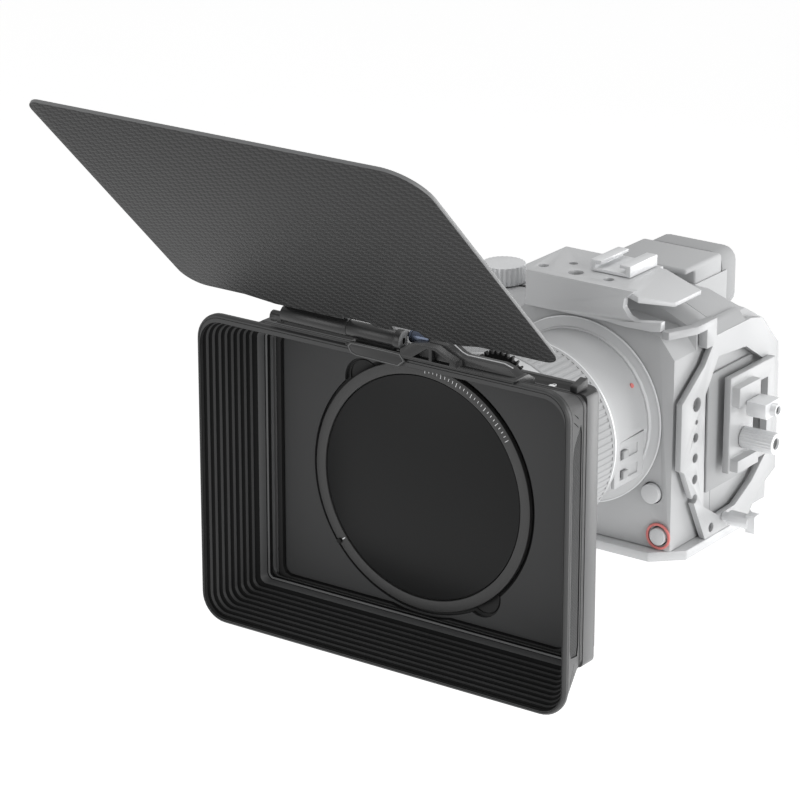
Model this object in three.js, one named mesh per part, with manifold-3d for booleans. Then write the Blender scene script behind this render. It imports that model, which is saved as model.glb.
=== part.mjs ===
// A cinema camera rig: a matte box with a hinged top flag and a drop-in variable
// filter tray, clamped to a zoom lens on a camera body that sits in a half cage.
//
// Units are millimetres. The modelling frame has its origin at the centre of the
// hood's front rim: +X to the camera's left, +Y from the rim back to the camera,
// +Z up. The last lines move the whole rig so that the origin is the centre of
// the cage's base plate, on its underside.
import * as THREE from "three";
import { mergeVertices } from "three/addons/utils/BufferGeometryUtils.js";
import Module from "manifold-3d";

const wasm = await Module();
wasm.setup();

// ---------------------------------------------------------------- dimensions
const GAP = 0.3; // clearance between neighbouring pieces
const PI = Math.PI;
const RIM_TO_BASE = 190; // front rim to the base plate's centre, along Y
const AXIS_HEIGHT = 60; // hood centre above the base plate's underside
const OPTICAL_Z = 0.5; // the lens axis, above the hood's centre

const RIM = { w: 182, h: 136.3, r: 12 };
const MOUTH = { w: 178, h: 130.6, r: 10, lift: -0.8 };
const NECK = { w: 162, h: 116.2, r: 5 };
const WINDOW = { w: 149.6, h: 109, r: 4 };
const RIM_DEPTH = 2;
const HOOD_DEPTH = 28.4;
const FRAME_FRONT = 28.7;
const FRAME_STEP = 36.95;
const FRAME_BACK = 42;

const TRAY = { x: 73, z0: -56.4, z1: 57.8, y0: 30.2, y1: 38 };
const PANEL = { w: 141, h: 107, r: 4, y0: 32, y1: 33.5 };
const PANEL_HOLE_R = 54.9;
const PANEL_BULGE_R = 55.9;
const NOTCH = { r: 9.5, at: 50, angles: [2.2, 2.2 - PI] };
const TRAY_HOLE_R = 51.7;

const GEAR_MODULE = 0.84;
const RING_TEETH = 120;
const WHEEL_TEETH = 30;
const RING_PITCH_R = (GEAR_MODULE * RING_TEETH) / 2;
const WHEEL_PITCH_R = (GEAR_MODULE * WHEEL_TEETH) / 2;
const WHEEL_ANGLE = (56 * PI) / 180; // wheel centre seen from the optical axis
const WHEEL_X = (RING_PITCH_R + WHEEL_PITCH_R) * Math.cos(WHEEL_ANGLE);
const WHEEL_Z = OPTICAL_Z + (RING_PITCH_R + WHEEL_PITCH_R) * Math.sin(WHEEL_ANGLE);
const RING_SECTOR = (46 * PI) / 180; // half of the ring's toothed arc
const RING_FLANGE_R = 53.3;
const GLASS_R = 48.2;

const HINGE = { y: 2.8, z: 74.3, r: 3.5, left: -47.4, seam: -14.7, right: 8.6 };
const STRUT_LEFT = 12.5; // where the cheek beside the hinge begins
const FLAG_TILT = PI / 4;
const FLAG = { w: 181.6, root: 7.1, near: 10, far: 147.4, thick: 1.6, lift: -0.1 };

const LENS_FRONT = 44;
const BODY_FRONT = 149.5;
const BODY = { x0: -62, x1: 47.5, z0: -55.2, split: 182, y1: 230.5 };
const WALL = 2.5;
const BASE = { z0: -60, z1: -55.6 };
const CAGE_IN = 48.6;
const CAGE_OUT = 52.3;
// Threaded holes down the side plate: y, z and radius.
const THREADS = [
  [161.1, 9.8, 3.2], [161.2, 1.8, 1.1], [160.8, -5.2, 2.1], [160.8, -14.5, 2.1],
  [161, -24.3, 2.1], [161.3, -33.4, 2.1], [176, -51.2, 2.1],
];

// ------------------------------------------------------------------ materials
const paint = (color, roughness, metalness = 0) =>
  new THREE.MeshStandardMaterial({ color, roughness, metalness });
const MATERIAL = {
  matte_black: paint(0x26272a, 0.62),
  satin_black: paint(0x2e3033, 0.42),
  black_metal: paint(0x1c1d1f, 0.38, 0.7),
  carbon: paint(0x3a3c3e, 0.5),
  dark_glass: paint(0x17181a, 0.08),
  clear_glass: paint(0x8d979b, 0.05),
  steel: paint(0xb9bcc0, 0.3, 1),
  pale_body: paint(0xbebfc1, 0.6),
  pale_rubber: paint(0xa9aaac, 0.85),
  pale_metal: paint(0xdfe0e1, 0.45, 0.4),
  light_metal: paint(0xf0f0f0, 0.35, 0.5),
  red_ring: paint(0xd98080, 0.5),
  circuit: paint(0x3d6b4d, 0.6),
};

// ---------------------------------------------------------------- solid tools
// A closed three.js geometry as a solid, with its faces turned outwards.
function solid(geometry) {
  const bare = geometry.clone();
  bare.deleteAttribute("normal");
  bare.deleteAttribute("uv");
  const merged = mergeVertices(bare, 1e-4);
  const triVerts = new Uint32Array(merged.index.array);
  const vertProperties = new Float32Array(merged.attributes.position.array);
  const build = () => {
    const mesh = new wasm.Mesh({ numProp: 3, vertProperties, triVerts });
    return new wasm.Manifold(mesh);
  };
  const first = build();
  if (first.volume() > 0) return first;
  for (let i = 0; i < triVerts.length; i += 3) {
    [triVerts[i + 1], triVerts[i + 2]] = [triVerts[i + 2], triVerts[i + 1]];
  }
  return build();
}

function geometryOf(body) {
  const mesh = body.getMesh();
  const geometry = new THREE.BufferGeometry();
  geometry.setAttribute("position", new THREE.BufferAttribute(mesh.vertProperties, 3));
  geometry.setIndex(new THREE.BufferAttribute(mesh.triVerts, 1));
  return geometry;
}

const join = (...bodies) => bodies.reduce((all, next) => all.add(next));
const cut = (body, ...tools) => tools.reduce((left, tool) => left.subtract(tool), body);

// ------------------------------------------------------------- basic outlines
const outline = (points) => new THREE.Shape(points.map(([u, v]) => new THREE.Vector2(u, v)));

function arcPoints(cu, cv, r, from, to, steps) {
  const points = [];
  for (let i = 0; i <= steps; i++) {
    const a = from + ((to - from) * i) / steps;
    points.push([cu + r * Math.cos(a), cv + r * Math.sin(a)]);
  }
  return points;
}

// A rectangle of width w and height h about (0, 0), with corners rounded to r.
function roundedPoints({ w, h, r }, steps = 4) {
  const points = [];
  const corners = [[1, 1], [-1, 1], [-1, -1], [1, -1]];
  corners.forEach(([su, sv], i) => {
    const cu = su * (w / 2 - r);
    const cv = sv * (h / 2 - r);
    points.push(...arcPoints(cu, cv, r, (i * PI) / 2, ((i + 1) * PI) / 2, steps));
  });
  return points;
}

// -------------------------------------------------------------- basic solids
// An outline in the XZ plane, extruded along Y from y0 to y1.
function plateY(points, y0, y1) {
  const geometry = new THREE.ExtrudeGeometry(outline(points), {
    depth: y1 - y0,
    bevelEnabled: false,
  });
  return solid(geometry.rotateX(PI / 2).translate(0, y1, 0));
}

// An outline in the YZ plane, extruded along X from x0 to x1.
function plateX(points, x0, x1) {
  const geometry = new THREE.ExtrudeGeometry(outline(points), {
    depth: x1 - x0,
    bevelEnabled: false,
  });
  const turn = new THREE.Matrix4().makeBasis(
    new THREE.Vector3(0, 1, 0),
    new THREE.Vector3(0, 0, 1),
    new THREE.Vector3(1, 0, 0),
  );
  return solid(geometry.applyMatrix4(turn).translate(x0, 0, 0));
}

// An outline in the XY plane, extruded along Z from z0 to z1.
function plateZ(points, z0, z1) {
  const geometry = new THREE.ExtrudeGeometry(outline(points), {
    depth: z1 - z0,
    bevelEnabled: false,
  });
  return solid(geometry.translate(0, 0, z0));
}

function block(x0, x1, y0, y1, z0, z1) {
  const geometry = new THREE.BoxGeometry(x1 - x0, y1 - y0, z1 - z0);
  return solid(geometry.translate((x0 + x1) / 2, (y0 + y1) / 2, (z0 + z1) / 2));
}

// Rods along each axis; r may be [start, end] for a taper.
function rod(r, length, sides) {
  const [start, end] = Array.isArray(r) ? r : [r, r];
  return new THREE.CylinderGeometry(end, start, length, sides);
}
const rodX = (r, x0, x1, y, z, sides = 24) =>
  solid(rod(r, x1 - x0, sides).rotateZ(-PI / 2).translate((x0 + x1) / 2, y, z));
const rodY = (r, y0, y1, x, z, sides = 24) =>
  solid(rod(r, y1 - y0, sides).translate(x, (y0 + y1) / 2, z));
const rodZ = (r, z0, z1, x, y, sides = 24) =>
  solid(rod(r, z1 - z0, sides).rotateX(PI / 2).translate(x, y, (z0 + z1) / 2));

// A closed [radius, y] profile turned about the optical axis.
function turned(profile, sides = 36) {
  const points = [...profile, profile[0]].map(([r, y]) => new THREE.Vector2(r, y));
  return solid(new THREE.LatheGeometry(points, sides).translate(0, 0, OPTICAL_Z));
}

const tube = (rIn, rOut, y0, y1, sides = 36) =>
  turned([[rIn, y0], [rOut, y0], [rOut, y1], [rIn, y1]], sides);

// A hollow shell between two series of rounded rectangles, each {w, h, r, y}, with
// an optional lift of its centre.
function loftedShell(rings) {
  const outlines = rings.map((ring) =>
    roundedPoints(ring).map(([u, v]) => new THREE.Vector3(u, ring.y, v + (ring.lift ?? 0))),
  );
  const count = outlines[0].length;
  const index = [];
  outlines.forEach((_, k) => {
    const next = (k + 1) % outlines.length;
    for (let i = 0; i < count; i++) {
      const j = (i + 1) % count;
      const [a, b] = [k * count + i, k * count + j];
      const [c, d] = [next * count + i, next * count + j];
      index.push(a, b, d, a, d, c);
    }
  });
  const geometry = new THREE.BufferGeometry().setFromPoints(outlines.flat());
  geometry.setIndex(index);
  return solid(geometry);
}

// Gear teeth on a circle about (cu, cv): trapezoids from the root to the tip,
// thinned for backlash. Teeth outside the sector are a plain arc at the tip.
function gearPoints(cu, cv, teeth, phase, sector = PI) {
  const pitch = (2 * PI) / teeth;
  const pitchR = (GEAR_MODULE * teeth) / 2;
  const tip = pitchR + 0.8 * GEAR_MODULE;
  const root = pitchR - 1.1 * GEAR_MODULE;
  const points = [];
  for (let i = 0; i < teeth; i++) {
    const a = phase + i * pitch;
    const away = Math.abs(Math.atan2(Math.sin(a - phase), Math.cos(a - phase)));
    const toothed = away <= sector;
    if (!toothed && i % 3) continue;
    const corners = toothed
      ? [[root, -0.3], [tip, -0.13], [tip, 0.13], [root, 0.3]]
      : [[tip, 0]];
    for (const [r, t] of corners) {
      points.push([cu + r * Math.cos(a + t * pitch), cv + r * Math.sin(a + t * pitch)]);
    }
  }
  return points;
}

// A closed outline with n bumps around it, for a knurled knob.
function knurlPoints(cu, cv, r, depth, n) {
  const points = [];
  for (let i = 0; i < 2 * n; i++) {
    const radius = i % 2 ? r - depth : r;
    const a = (PI * i) / n;
    points.push([cu + radius * Math.cos(a), cv + radius * Math.sin(a)]);
  }
  return points;
}

// ------------------------------------------------------------------- assembly
const rig = new THREE.Group();
function piece(name, body, material, parent = rig) {
  const mesh = new THREE.Mesh(geometryOf(body), MATERIAL[material]);
  mesh.name = name;
  parent.add(mesh);
}

// -------------------------------------------------------------- the matte box
function hood() {
  const rings = [
    { ...RIM, y: 0 },
    { ...RIM, y: RIM_DEPTH },
    { ...NECK, y: 26.5 },
    { ...NECK, y: HOOD_DEPTH },
    { ...WINDOW, y: HOOD_DEPTH },
    { ...WINDOW, y: 26 },
    { ...MOUTH, y: 1.5 },
    { ...MOUTH, y: 0 },
  ];
  piece("hood_shell", loftedShell(rings), "matte_black");
}

function rearFrame() {
  const pocketX = TRAY.x + 0.4;
  const inner = { w: NECK.w - 6, h: NECK.h - 1.6, r: 4 };
  const outer = plateY(roundedPoints({ ...NECK, r: 2.5 }), FRAME_FRONT, FRAME_STEP);
  const back = plateY(roundedPoints(inner), FRAME_STEP - 0.5, FRAME_BACK);
  const pocket = block(-pocketX, pocketX, TRAY.y0 - GAP, 39.6, TRAY.z0 - GAP, 70);
  const window = plateY(roundedPoints(WINDOW), FRAME_FRONT - 1, TRAY.y0);
  const hole = rodY(51, 39, FRAME_BACK + 1, 0, OPTICAL_Z, 48);
  piece("rear_frame", cut(join(outer, back), pocket, window, hole), "satin_black");
}

// The panel's outline: a rectangle that bulges round the filter ring.
const panelBlank = (grow, y0, y1) =>
  join(
    plateY(
      roundedPoints({ w: PANEL.w + 2 * grow, h: PANEL.h + 2 * grow, r: PANEL.r }, 2),
      y0,
      y1,
    ),
    rodY(PANEL_BULGE_R + grow, y0, y1, 0, OPTICAL_Z, 64),
  );

function tray() {
  const plateFront = PANEL.y1 + GAP;
  const slab = block(-TRAY.x, TRAY.x, TRAY.y0, TRAY.y1, TRAY.z0, TRAY.z1);
  const recess = panelBlank(0.3, TRAY.y0 - 1, plateFront);
  const hole = rodY(TRAY_HOLE_R, plateFront - 1, TRAY.y1 + 1, 0, OPTICAL_Z, 64);
  const wheelPocket = rodY(14, plateFront - GAP, 36.9, WHEEL_X, WHEEL_Z, 36);
  const axleHole = rodY(2 + GAP, 36, TRAY.y1 + 1, WHEEL_X, WHEEL_Z, 16);
  piece("tray_frame", cut(slab, recess, hole, wheelPocket, axleHole), "satin_black");

  const notches = NOTCH.angles.map((a) =>
    rodY(
      NOTCH.r,
      PANEL.y0 - 1,
      PANEL.y1 + 1,
      NOTCH.at * Math.cos(a),
      OPTICAL_Z + NOTCH.at * Math.sin(a),
    ),
  );
  const panelHole = rodY(PANEL_HOLE_R, PANEL.y0 - 1, PANEL.y1 + 1, 0, OPTICAL_Z, 64);
  piece(
    "tray_panel",
    cut(panelBlank(0, PANEL.y0, PANEL.y1), panelHole, ...notches),
    "satin_black",
  );

  piece("polarizer_glass", tube(0, 48, 38.4, 39.2, 40), "dark_glass");
  piece("polarizer_retainer", tube(48.4, 53.5, 38.3, 39.3), "black_metal");
  piece(
    "wheel_axle",
    join(
      rodY(2, 33.9, 37.9, WHEEL_X, WHEEL_Z, 16),
      rodY(3.6, 33.85, 34.2, WHEEL_X, WHEEL_Z, 16),
    ),
    "steel",
  );
}

function filterRing() {
  const teeth = cut(
    plateY(
      gearPoints(0, OPTICAL_Z, RING_TEETH, WHEEL_ANGLE, RING_SECTOR),
      33.2,
      36.9,
    ),
    rodY(46.5, 33, 37, 0, OPTICAL_Z, 48),
  );
  const flange = turned(
    [
      [48.5, 31], [RING_FLANGE_R - 0.5, 31], [RING_FLANGE_R, 31.5], [RING_FLANGE_R, 33.3],
      [46.5, 33.3], [46.5, 33.6], [48.5, 33.6],
    ],
    48,
  );
  const seat = rodY(48.5, 30, 33.6, 0, OPTICAL_Z, 48);
  piece("filter_ring", cut(join(flange, teeth), seat), "black_metal");
  piece("filter_glass", tube(0, GLASS_R, 31.4, 33.3, 48), "dark_glass");
  piece("ring_index_pin", rodY(1.1, 30.1, 30.8, -41.2, -31.9, 12), "steel");
}

function thumbWheel() {
  // A tooth gap of the wheel faces the ring's tooth on the line of centres.
  const phase = WHEEL_ANGLE + PI + PI / WHEEL_TEETH;
  const teeth = plateY(gearPoints(WHEEL_X, WHEEL_Z, WHEEL_TEETH, phase), 34.4, 36.6);
  const bore = rodY(2 + GAP, 34, 37, WHEEL_X, WHEEL_Z, 16);
  piece("thumb_wheel", cut(teeth, bore), "matte_black");
}

// A bar beside the pocket's mouth that slides over the tray's edge.
function trayLatch() {
  const side = [[27, 58.4], [35, 58.4], [35, 62.6], [34.2, 62.8], [27.6, 61.4], [27, 60.8]];
  piece("tray_latch", plateX(side, 73.8, 77.2), "black_metal");
}

function hinge() {
  const { y, z, r, left, seam, right } = HINGE;
  const saddle = plateX(
    [[-1.3, 68.5], [3.1, 68.5], [14, 63.9], [14, 66.6], [9.6, 69.3], [-1.3, 69.3]],
    -14,
    66,
  );
  const namePlate = plateY(
    [[-13.3, 68.6], [-11.9, 65.6], [-9.2, 64.8], [11.9, 64.4], [15.1, 67.3], [12.4, 70.5],
      [-11.9, 70.5]],
    -1.3,
    -GAP,
  );
  const rib = plateY(
    [[STRUT_LEFT, 68.9], [39.5, 68.9], [38.7, 71.7], [33.1, 74.1], [29.8, 75.8], [24.5, 76],
      [17.9, 75.5], [STRUT_LEFT, 72.1]],
    -1.3,
    3.4,
  );
  const arm = plateY(
    [[14, 68.9], [65, 68.9], [61, 71.5], [57, 72.6], [39.8, 72.6], [37.4, 73.3], [34.5, 75],
      [32.7, 76.2], [30.3, 77.3], [23.5, 77.1], [23.5, 73.2], [14, 73.2]],
    3.2,
    9,
  );
  const leftRecess = plateY([[18.5, 69.9], [26.3, 69.9], [26.3, 74.6], [25.4, 74.6]], -2, 1.4);
  const rightRecess = plateY([[27.7, 69.7], [36, 69.7], [36.4, 71.2], [29, 74.5], [27.7, 74.6]], -2, 1.4);
  const barrel = rodX(r, seam + 0.2, right, y, z);
  const neck = block(seam + 4, right, y - 2, y + 2.4, 69, 71.8);
  const stud = rodX(2.6, STRUT_LEFT, 22, 7, 75.4);
  const pinBore = rodX(1.9, seam - 1, right + 1, y, z, 16);
  const capRoom = rodX(4.6, right, 12.2, y, z);
  piece(
    "hinge_bracket",
    cut(
      join(saddle, rib, arm, barrel, neck, stud, namePlate),
      capRoom,
      leftRecess,
      rightRecess,
      pinBore,
    ),
    "matte_black",
  );
  const pin = rodX(1.6, left + 2, 9.5, y, z, 16);
  const cap = rodX(4.2, right + 0.2, 11.9, y, z);
  piece("hinge_pin", join(pin, cap), "black_metal");

  const knob = plateX(knurlPoints(y, 72.3, 2.4, 0.25, 14), left - 6.1, left - GAP);
  piece("tension_knob", knob, "black_metal");
}

// The flag's pieces are modelled with the flag lying along -Y from the hinge
// axis, then tilted about it.
function flag() {
  const group = new THREE.Group();
  group.position.set(0, HINGE.y, HINGE.z);
  group.rotation.x = -FLAG_TILT;
  rig.add(group);

  const { near, far, thick, lift, root } = FLAG;
  const half = FLAG.w / 2;
  const corner = (cx, cy, r, from) => arcPoints(cx, cy, r, from, from + PI / 2, 5);
  const sheetPoints = [
    [52, -near], [42, -root], [25.5, -root], [24, -root - 4.4], [11.5, -root - 4.4],
    [10.5, -root], [1, -root], [0, -root - 2], [-13.5, -root - 2], [-14.5, -root],
    [-48, -root], [-62, -near],
    ...arcPoints(-half + 10, -near - 10, 10, PI / 2, PI, 5),
    ...corner(-half + 7, -far + 7, 7, PI),
    ...corner(half - 17, -far + 17, 17, 1.5 * PI),
    ...arcPoints(half - 9, -near - 9, 9, 0, PI / 2, 5),
  ];
  const top = lift + thick;
  piece("flag_panel", plateZ(sheetPoints, lift, top), "carbon", group);

  const { r, left, seam } = HINGE;
  const leafTop = top + GAP + 1.8;
  const barrel = rodX(r, left, seam, 0, 0);
  const leaf = block(left + 0.5, seam - 0.5, -16, -1, top + GAP, leafTop);
  const bore = rodX(1.9, left - 1, seam + 1, 0, 0, 16);
  piece("flag_hinge_barrel", cut(join(barrel, leaf), bore), "matte_black", group);
  const strip = block(left + 2, seam - 2, -15, -7, leafTop + GAP, leafTop + 1.3);
  piece("flag_clamp_strip", strip, "black_metal", group);
}

function lensClamp() {
  const ring = join(tube(44.4, 50, 42.3, 57), tube(44.4, 54, 42.3, 44.6));
  const lugs = block(-7, 7, 44.2, 56.8, -59, -48.5);
  const slit = block(-1.5, 1.5, 42, 58, -62, -43);
  const inside = rodY(44.4, 42, 58, 0, OPTICAL_Z, 36);
  const screwHole = rodX(1.6, -8, 8, 50.5, -54.6, 12);
  piece("lens_clamp_ring", cut(join(ring, lugs), slit, inside, screwHole), "black_metal");
  const head = plateX(knurlPoints(50.5, -54.6, 4, 0.4, 14), 7.3, 13.5);
  piece("clamp_screw", join(rodX(1.3, -9, 7.4, 50.5, -54.6, 12), head), "steel");
}

// -------------------------------------------------------------------- the lens
function lens() {
  const barrel = turned([
    [39.5, LENS_FRONT], [44, LENS_FRONT], [44, 58], [39.2, 58], [39.2, 113.5],
    [35.8, 113.5], [35.8, 56], [39.5, 52],
  ]);
  piece("lens_front_barrel", barrel, "pale_body");
  const dome = [[0, 47], [14, 47.3], [27, 48.4], [37, 50.4], [39, 51], [39, 51.4], [0, 51.4]];
  piece("lens_front_glass", turned(dome, 40), "clear_glass");
  piece("focus_ring", tube(39.5, 43.4, 58.4, 82), "pale_rubber");
  piece("control_ring", tube(39.5, 42.2, 82.5, 89), "pale_metal");
  piece("zoom_ring", tube(39.5, 42, 89.5, 112.5), "pale_rubber");
  const rear = turned([
    [33, 113.9], [40.4, 113.9], [40.4, 118], [38.4, 122], [37, 146.2], [33, 146.2],
  ]);
  const switchSeat = block(35.4, 50, 119, 143, -20, 1);
  piece("lens_rear_barrel", cut(rear, switchSeat), "pale_body");
  const switchPlate = block(35.7, 37.4, 119.6, 142.4, -19.4, 0.4);
  const slots = [-5.5, -14.5].map((z) => block(36.7, 40, 124, 138, z - 2.3, z + 2.3));
  piece("lens_switch_plate", cut(switchPlate, ...slots), "pale_body");
  for (const [name, z] of [["focus_mode_switch", -5.5], ["stabilizer_switch", -14.5]]) {
    piece(name, block(37, 38.6, 125, 129, z - 1.8, z + 1.8), "pale_rubber");
  }
  piece("iris_unit", tube(13, 35.4, 84, 92, 32), "black_metal");
  piece("lens_rear_glass", tube(0, 32.6, 138, 141, 32), "clear_glass");
}

// -------------------------------------------------------------- the camera body
const BODY_OUTLINE = [
  [BODY.x0, BODY.z0], [BODY.x1, BODY.z0], [BODY.x1, 40], [31.4, 46.9], [16, 48], [11, 52.6],
  [-20, 52.6], [-27, 44], [-34, 39], [BODY.x0, 37],
];
// The right shoulder is set back from the front, and slopes down to the rear.
const SHOULDER_STEP = [[12, 44.4], [24, 43], [40, 41], [48, 31], [60, 31], [60, 60], [12, 60]];
const SHOULDER_BACK = [[203, 47.5], [206, 41], [224, 31], [231, 23.5], [232, 60], [203, 60]];

const EYE = { x0: -16, x1: 24, y0: 204, y1: 227, z0: 28, z1: 56 };
const RECORD = { x: 42, z: -49, r: 3.9 };
const LENS_RELEASE = { x: 38, z: -30, r: 4.5 };

// The outline with its edges moved in by the wall thickness.
const BODY_HOLLOW = [
  [BODY.x0 + WALL, BODY.z0 + WALL], [BODY.x1 - WALL, BODY.z0 + WALL], [BODY.x1 - WALL, 30],
  [37, 36.8], [23, 39.5], [-26, 39.5], [-35, 36.4], [BODY.x0 + WALL, 34.5],
];

function cameraShells() {
  const throat = rodY(31, BODY_FRONT - 1, BODY_FRONT + 6, 0, OPTICAL_Z, 40);
  const buttonHole = ({ x, z, r }) =>
    rodY(r + 0.5, BODY_FRONT - 1, BODY_FRONT + 6, x, z, 20);
  const front = cut(
    plateY(BODY_OUTLINE, BODY_FRONT, BODY.split),
    plateY(BODY_HOLLOW, BODY_FRONT + WALL, BODY.split + 1),
    plateY(SHOULDER_STEP, BODY_FRONT - 1, 167),
    throat,
    buttonHole(RECORD),
    buttonHole(LENS_RELEASE),
  );
  piece("body_front_shell", front, "pale_body");
  const rear = cut(
    plateY(BODY_OUTLINE, BODY.split + GAP, BODY.y1),
    cut(
      plateY(BODY_HOLLOW, BODY.split, BODY.y1 - WALL),
      block(21, 60, 202, BODY.y1, 14, 60),
    ),
    plateX(SHOULDER_BACK, EYE.x1 + 0.6, 60),
    block(EYE.x0 - GAP, EYE.x1 + GAP, EYE.y0 - GAP, BODY.y1 + 1, EYE.z0 - GAP, 60),
  );
  piece("body_rear_shell", rear, "pale_body");
  const collar = turned([
    [32, 146.5], [37.6, 146.5], [37.6, 148], [42, 148.4], [42, 149.2], [32, 149.2],
  ]);
  piece("lens_mount_collar", collar, "pale_metal");
  piece("sensor_unit", block(-24, 24, 166, 174, -18, 19), "circuit");
  piece("main_board", block(-52, 40, 190, 192, -48, 30), "circuit");
}

function grip() {
  const section = [
    [-62.4, 150], [-68, 146], [-76, 130], [-88, 127], [-99, 133], [-104, 148],
    [-104, 190], [-98, 204], [-62.4, 208],
  ];
  const shell = plateZ(section, BODY.z0, 37);
  const batteryBay = block(-98.6, -73.4, 144.6, 188.4, BODY.z0 - 1, 24);
  const buttonWell = rodZ(5.1, 34.5, 38, -84, 139, 20);
  piece("grip", cut(shell, batteryBay, buttonWell), "pale_rubber");
  piece("battery", block(-98, -74, 145, 188, -51.5, 20), "black_metal");
  piece("battery_door", block(-98.2, -73.8, 145, 188, BODY.z0, BODY.z0 + 2.6), "pale_body");
  piece("shutter_button", rodZ(4.6, 37.3, 40.2, -84, 139, 20), "pale_metal");
  const dial = plateZ(knurlPoints(-63, 184, 10, 0.6, 28), 38, 46.5);
  piece("mode_dial", dial, "pale_metal");
  const wheel = plateZ(knurlPoints(-88, 160, 6.5, 0.5, 20), 37.3, 41);
  piece("front_dial", wheel, "pale_metal");
}

function viewfinder() {
  const { x0, x1, y0, y1, z0, z1 } = EYE;
  const profile = [
    [y0, z0], [y1, z0], [y1, z1 - 1.5], [y1 - 1.5, z1], [y0 - 8, z1], [y0 - 8, 53.2],
    [y0, 53.2],
  ];
  piece("viewfinder_housing", plateX(profile, x0, x1), "pale_body");
  const group = new THREE.Group();
  group.position.set((x0 + x1) / 2, 0, (z0 + z1) / 2);
  rig.add(group);
  const cup = plateY(roundedPoints({ w: x1 - x0, h: z1 - z0 - 1, r: 6 }), y1 + GAP, 239);
  const eye = plateY(roundedPoints({ w: 32, h: 18, r: 5 }), 231, 240);
  piece("eyecup", cut(cup, eye), "pale_rubber", group);
}

const LCD_HINGE = { x: 44, y: 236, r: 3 };
function screen() {
  const { x, y, r } = LCD_HINGE;
  const link = join(
    rodZ(r, -40, 14, x, y, 20),
    block(x - 6, x, y - 1.6, y + 1.6, -34, 8),
  );
  piece("screen_hinge", link, "pale_body");
  const housing = cut(
    plateY(roundedPoints({ w: 88, h: 58, r: 4 }), y - 4, y + 4.4),
    plateY(roundedPoints({ w: 80, h: 50, r: 2 }), y - 5, y - 2.2),
  );
  const group = new THREE.Group();
  group.position.set(x - 6.6 - 44, 0, -14);
  rig.add(group);
  piece("screen_housing", housing, "pale_body", group);
  piece(
    "screen_glass",
    plateY(roundedPoints({ w: 79.2, h: 49.2, r: 2 }), y - 3.8, y - 2.5),
    "dark_glass",
    group,
  );
}

function bodyControls() {
  const { x, z, r } = RECORD;
  piece("record_button", rodY(r, 147.6, 151.6, x, z, 20), "pale_metal");
  const ring = cut(rodY(6, 148.3, 149.2, x, z, 28), rodY(r + 1, 148, 150, x, z, 28));
  piece("record_ring", ring, "red_ring");
  const release = rodY(LENS_RELEASE.r, 147.4, 151, LENS_RELEASE.x, LENS_RELEASE.z, 20);
  piece("lens_release_button", release, "pale_metal");
  piece("port_cover", block(47.9, 49.2, 176, 212, -36, 18), "pale_rubber");
}

// -------------------------------------------------------------------- the cage
function cage() {
  const deck = [[-26, 147], [17, 147], [20, 152], [20, 184], [-30, 184], [-30, 152]];
  const drill = (x, y, r) => rodZ(r, 50, 64, x, y, 16);
  const holes = [
    drill(-23, 155, 2.4), drill(-6, 154.6, 3.4), drill(-14, 165, 2), drill(10.7, 154.4, 2.4),
  ];
  const lip = plateY(
    [[-26, 44], [15, 44.3], [25, 43.6], [37.3, 43.8], [42.7, 44.8], [42.7, 48.9], [30, 47],
      [26.5, 48.4], [23.8, 52], [24.2, 56], [27.5, 58.8], [29, 60], [-26, 60]],
    145.6,
    149,
  );
  const wing = cut(
    plateY([[16, 56.5], [23, 57], [41, 51.8], [41, 53.8], [23, 60], [16, 60]], 147, 181),
    plateZ([[28.5, 145], [43, 145], [43, 162]], 40, 70),
  );
  const top = cut(join(plateZ(deck, 56, 60), lip, wing), ...holes);
  piece("cage_top_plate", top, "pale_metal");

  const side = [
    [148.7, 13], [167, 26], [176, 37], [205, 37], [214.5, 34.8], [229.7, 19.4], [230.7, 5],
    [230.7, -40], [217, -46.3], [208, -55.3], [171, -55.3], [152, -19], [148.7, -17],
  ];
  const gap = [
    [168, 12], [178, 27], [201.5, 25], [222, 12], [222, -30], [210, -40], [196, -47],
    [182, -47.5], [169, -39.5],
  ];
  const threads = THREADS.map(([y, z, r]) => rodX(r, CAGE_IN - 1, CAGE_OUT + 1, y, z, 16));
  const upright = plateX(side, CAGE_IN + 0.9, CAGE_OUT);
  const opening = plateX(gap, CAGE_IN - 1, CAGE_OUT + 1);
  const topBlock = plateY(
    [[48.2, 33], [CAGE_OUT, 33], [CAGE_OUT, 36.4], [48.6, 41], [46, 42.2], [46, 41.2],
      [48.2, 40.2]],
    174.5,
    201,
  );
  const band = plateZ(
    [[43, 146], [46.5, 146], [CAGE_OUT, 160], [CAGE_OUT, 176], [48.2, 176], [48.2, 161], [43, 149]],
    41.6,
    45,
  );
  const bandFoot = block(48.2, CAGE_OUT, 168, 176, 33, 42);
  const frame = join(upright, topBlock, band, bandFoot);
  piece("cage_side_plate", cut(frame, opening, ...threads), "pale_metal");

  const base = [
    [-60, 152], [-52, 144], [40, 144], [CAGE_OUT, 156], [CAGE_OUT, 212], [44, 220], [-60, 220],
  ];
  const screwHole = rodZ(3.4, -62, -54, 0, 178, 20);
  piece("cage_base_plate", cut(plateZ(base, BASE.z0, BASE.z1), screwHole), "pale_metal");
  piece("base_screw", rodZ(3, BASE.z0 + 0.4, BASE.z1 - 0.1, 0, 178, 20), "steel");

  const rail = join(
    block(-2, 18, 160, 182, 60.3, 61.8),
    block(-2, 0.5, 160, 182, 61.7, 65.4),
    block(15.5, 18, 160, 182, 61.7, 65.4),
    block(-2, 3.4, 160, 182, 63.9, 65.4),
    block(12.6, 18, 160, 182, 63.9, 65.4),
  );
  piece("cold_shoe", rail, "light_metal");
}

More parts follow.
